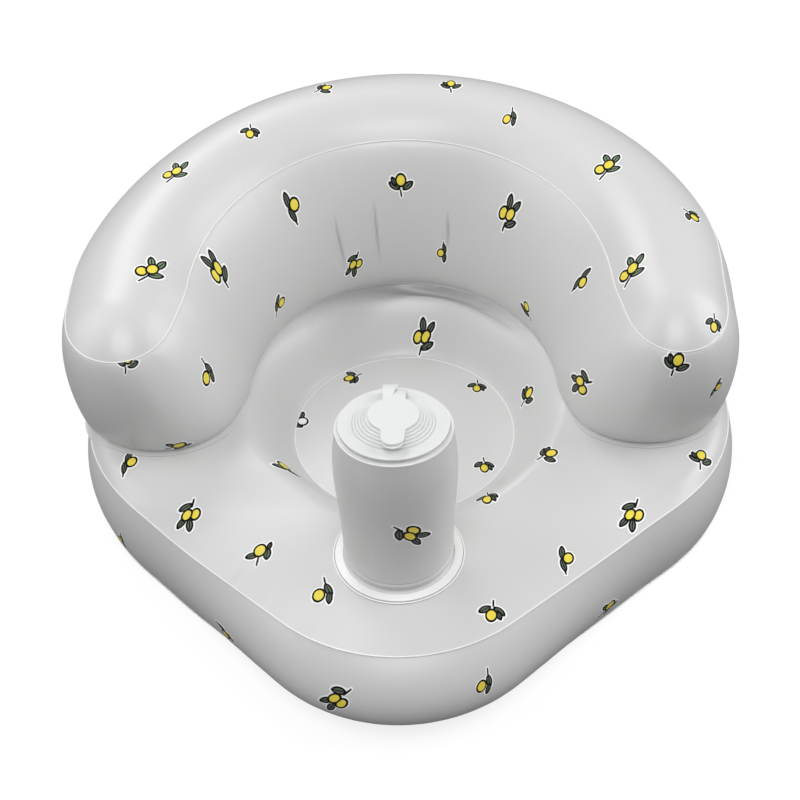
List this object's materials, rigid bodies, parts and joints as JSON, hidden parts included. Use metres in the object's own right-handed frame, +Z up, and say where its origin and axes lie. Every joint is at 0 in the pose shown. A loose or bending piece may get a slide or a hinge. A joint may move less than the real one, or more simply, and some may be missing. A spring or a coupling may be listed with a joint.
{
  "type": "inflatable baby bath seat",
  "caption": "Inflatable baby bath seat: pear-shaped air base, horseshoe backrest with arms, sunken round seat and a front post that is a press pump with a capped intake.",
  "frame": {"origin": "on the floor under the centre of the round seat floor", "axes": "+Z up, +Y to the back of the seat, the pump post is at -Y, +X to the right seen from the front"},
  "size_m": [0.554, 0.5753, 0.2497],
  "materials": {
    "printed_vinyl": "satin white soft vinyl film, printed with small fruit sprigs",
    "hidden_vinyl": "plain inner film",
    "moulded_vinyl": "satin moulded soft vinyl",
    "clear_vinyl": "milky moulded soft vinyl",
    "foam": "open-cell foam"
  },
  "bodies": {
    "root": {"base_bottom_sheet": "printed_vinyl", "base_side_wall": "printed_vinyl", "base_top_panel": "printed_vinyl", "seat_floor_disc": "printed_vinyl", "seat_tether_web": "hidden_vinyl", "backrest_bottom_panel": "printed_vinyl", "backrest_side_wall": "printed_vinyl", "backrest_top_panel": "printed_vinyl", "pump_foot_sheet": "printed_vinyl", "pump_foam_core": "foam", "outlet_valve_body": "clear_vinyl", "release_valve_body": "clear_vinyl", "release_plug_strap": "clear_vinyl"},
    "pump_head": {"pump_column_wall": "printed_vinyl", "pump_top_sheet": "printed_vinyl", "pump_top_plate": "moulded_vinyl", "cap_strap": "moulded_vinyl"},
    "cap": {"valve_cap": "moulded_vinyl"},
    "intake_valve": {"intake_flap": "clear_vinyl"},
    "outlet_valve": {"outlet_flap": "clear_vinyl"},
    "stopper": {"release_plug": "clear_vinyl"},
    "release_valve": {"release_flap": "clear_vinyl"}
  },
  "joints": [
    {"name": "pump_press", "type": "slide", "parent": "root", "child": "pump_head", "axis": [0, 0, -1], "range_m": [0, 0.055], "stiffness_N_per_m": 400, "springref_m": -0.01, "deforming": ["pump_column_wall", "pump_foam_core"]},
    {"name": "cap_hinge", "type": "hinge", "parent": "pump_head", "child": "cap", "pos_m": [0, -0.14207, 0.2281], "axis": [-1, 0, 0], "range_deg": [0, 150], "deforming": ["cap_strap"]},
    {"name": "intake_flap_hinge", "type": "hinge", "parent": "pump_head", "child": "intake_valve", "pos_m": [0, -0.161, 0.22514], "axis": [1, 0, 0], "range_deg": [0, 25], "stiffness_Nm_per_rad": 0.0005, "springref_deg": -5.73},
    {"name": "outlet_flap_hinge", "type": "hinge", "parent": "root", "child": "outlet_valve", "pos_m": [0, -0.1628, 0.0678], "axis": [1, 0, 0], "range_deg": [0, 30], "stiffness_Nm_per_rad": 0.0005, "springref_deg": -5.73},
    {"name": "release_plug_pull", "type": "slide", "parent": "root", "child": "stopper", "axis": [0, 1, 0], "range_m": [0, 0.015], "deforming": ["release_plug_strap"]},
    {"name": "release_flap_hinge", "type": "hinge", "parent": "root", "child": "release_valve", "pos_m": [0, 0.259, 0.045], "axis": [-1, 0, 0], "range_deg": [0, 30], "stiffness_Nm_per_rad": 0.0005, "springref_deg": -5.73}
  ]
}
